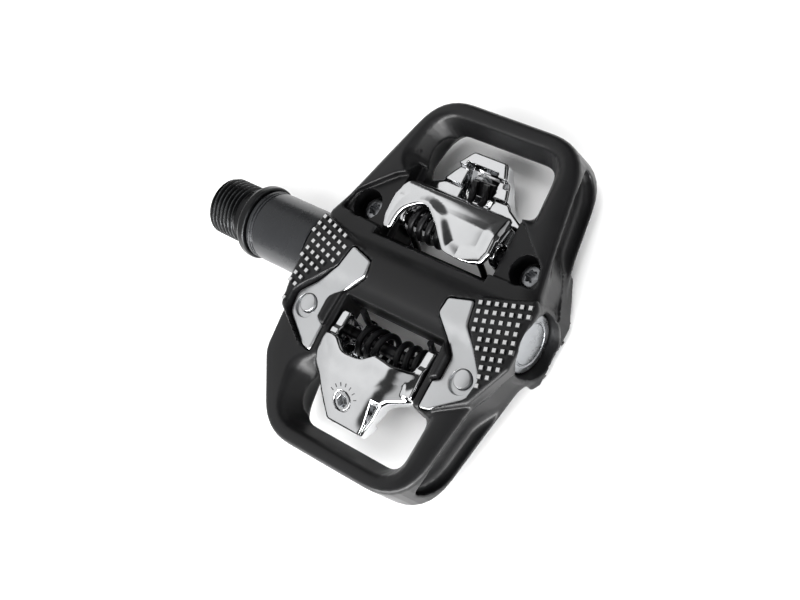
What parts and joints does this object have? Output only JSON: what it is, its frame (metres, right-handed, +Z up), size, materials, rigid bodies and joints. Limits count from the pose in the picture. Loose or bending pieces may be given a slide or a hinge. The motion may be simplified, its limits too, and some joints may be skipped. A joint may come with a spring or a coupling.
{
  "type": "clipless pedal",
  "caption": "Double-sided clipless mountain bike pedal: caged body with sprung cleat claws, wear plates and traction pads, turning on a threaded spindle.",
  "frame": {"origin": "on the spindle axis, midway between the thread's free end and the body's outboard edge", "axes": "+X outboard along the spindle, +Y to the front of the top side, +Z up out of the top side"},
  "size_m": [0.0966, 0.0862, 0.018],
  "materials": {
    "forged_body": "black anodised, satin",
    "black_steel": "black oxide",
    "sleeve": "dark grey anodised, satin",
    "chrome": "polished",
    "stainless": "satin stainless",
    "spring_steel": "oiled black",
    "bearing_steel": "ground",
    "seal_rubber": "moulded",
    "bronze": "sintered bronze"
  },
  "bodies": {
    "spindle": {"spindle": "black_steel", "inner_bearing_inner_race": "bearing_steel", "outer_bearing_inner_race": "bearing_steel", "lock_washer": "bearing_steel", "axle_locknut": "bearing_steel"},
    "pedal": {"pedal_body": "forged_body", "barrel_sleeve": "sleeve", "sleeve_seal": "seal_rubber", "inboard_bush": "bronze", "inner_bearing_outer_race": "bearing_steel", "outer_bearing_outer_race": "bearing_steel", "end_cap": "chrome", "top_wear_plate_outboard": "stainless", "top_plate_stud_outboard": "stainless", "top_torx_screw_outboard": "stainless", "top_wear_plate_inboard": "stainless", "top_plate_stud_inboard": "stainless", "top_torx_screw_inboard": "stainless", "top_front_claw": "chrome", "top_pivot_pin": "bearing_steel", "top_spring_outboard": "spring_steel", "top_spring_inboard": "spring_steel", "bottom_wear_plate_outboard": "stainless", "bottom_plate_stud_outboard": "stainless", "bottom_torx_screw_outboard": "stainless", "bottom_wear_plate_inboard": "stainless", "bottom_plate_stud_inboard": "stainless", "bottom_torx_screw_inboard": "stainless", "bottom_front_claw": "chrome", "bottom_pivot_pin": "bearing_steel", "bottom_spring_outboard": "spring_steel", "bottom_spring_inboard": "spring_steel"},
    "bearing_balls": {"inner_bearing_ball_1": "bearing_steel", "inner_bearing_ball_2": "bearing_steel", "inner_bearing_ball_3": "bearing_steel", "inner_bearing_ball_4": "bearing_steel", "inner_bearing_ball_5": "bearing_steel", "inner_bearing_ball_6": "bearing_steel", "inner_bearing_ball_7": "bearing_steel", "outer_bearing_ball_1": "bearing_steel", "outer_bearing_ball_2": "bearing_steel", "outer_bearing_ball_3": "bearing_steel", "outer_bearing_ball_4": "bearing_steel", "outer_bearing_ball_5": "bearing_steel", "outer_bearing_ball_6": "bearing_steel", "outer_bearing_ball_7": "bearing_steel"},
    "top_claw": {"top_rear_claw": "chrome"},
    "top_tension_screw": {"top_tension_screw": "black_steel"},
    "top_tension_plate": {"top_tension_plate": "spring_steel"},
    "bottom_claw": {"bottom_rear_claw": "chrome"},
    "bottom_tension_screw": {"bottom_tension_screw": "black_steel"},
    "bottom_tension_plate": {"bottom_tension_plate": "spring_steel"}
  },
  "joints": [
    {"name": "pedal_spin", "type": "hinge", "parent": "spindle", "child": "pedal", "pos_m": [0, 0, 0], "axis": [1, 0, 0], "continuous": true},
    {"name": "ball_orbit", "type": "hinge", "parent": "spindle", "child": "bearing_balls", "pos_m": [0, 0, 0], "axis": [1, 0, 0], "continuous": true},
    {"name": "top_claw_release", "type": "hinge", "parent": "pedal", "child": "top_claw", "pos_m": [0.01595, -0.0145, -0.001], "axis": [1, 0, 0], "range_deg": [0, 18], "stiffness_Nm_per_rad": 0.3, "springref_deg": -20.05, "deforming": ["top_spring_outboard", "top_spring_inboard"]},
    {"name": "top_tension_travel", "type": "slide", "parent": "top_claw", "child": "top_tension_plate", "axis": [0, 0.4226, -0.9063], "range_m": [0, 0.0024], "deforming": ["top_spring_outboard", "top_spring_inboard"]},
    {"name": "top_tension_turn", "type": "hinge", "parent": "top_tension_plate", "child": "top_tension_screw", "pos_m": [0.01355, -0.0292, 0.00535], "axis": [0, 0.4226, -0.9063], "range_deg": [0, 1080]},
    {"name": "bottom_claw_release", "type": "hinge", "parent": "pedal", "child": "bottom_claw", "pos_m": [0.01595, 0.0145, 0.001], "axis": [1, 0, 0], "range_deg": [0, 18], "stiffness_Nm_per_rad": 0.3, "springref_deg": -20.05, "deforming": ["bottom_spring_outboard", "bottom_spring_inboard"]},
    {"name": "bottom_tension_travel", "type": "slide", "parent": "bottom_claw", "child": "bottom_tension_plate", "axis": [0, -0.4226, 0.9063], "range_m": [0, 0.0024], "deforming": ["bottom_spring_outboard", "bottom_spring_inboard"]},
    {"name": "bottom_tension_turn", "type": "hinge", "parent": "bottom_tension_plate", "child": "bottom_tension_screw", "pos_m": [0.01355, 0.0292, -0.00535], "axis": [0, -0.4226, 0.9063], "range_deg": [0, 1080]}
  ],
  "couplings": [
    {"joint": "ball_orbit", "follows": "pedal_spin", "ratio": 0.587},
    {"joint": "top_tension_turn", "follows": "top_tension_travel", "rad_per_m": 7853.9},
    {"joint": "bottom_tension_turn", "follows": "bottom_tension_travel", "rad_per_m": 7853.9}
  ]
}
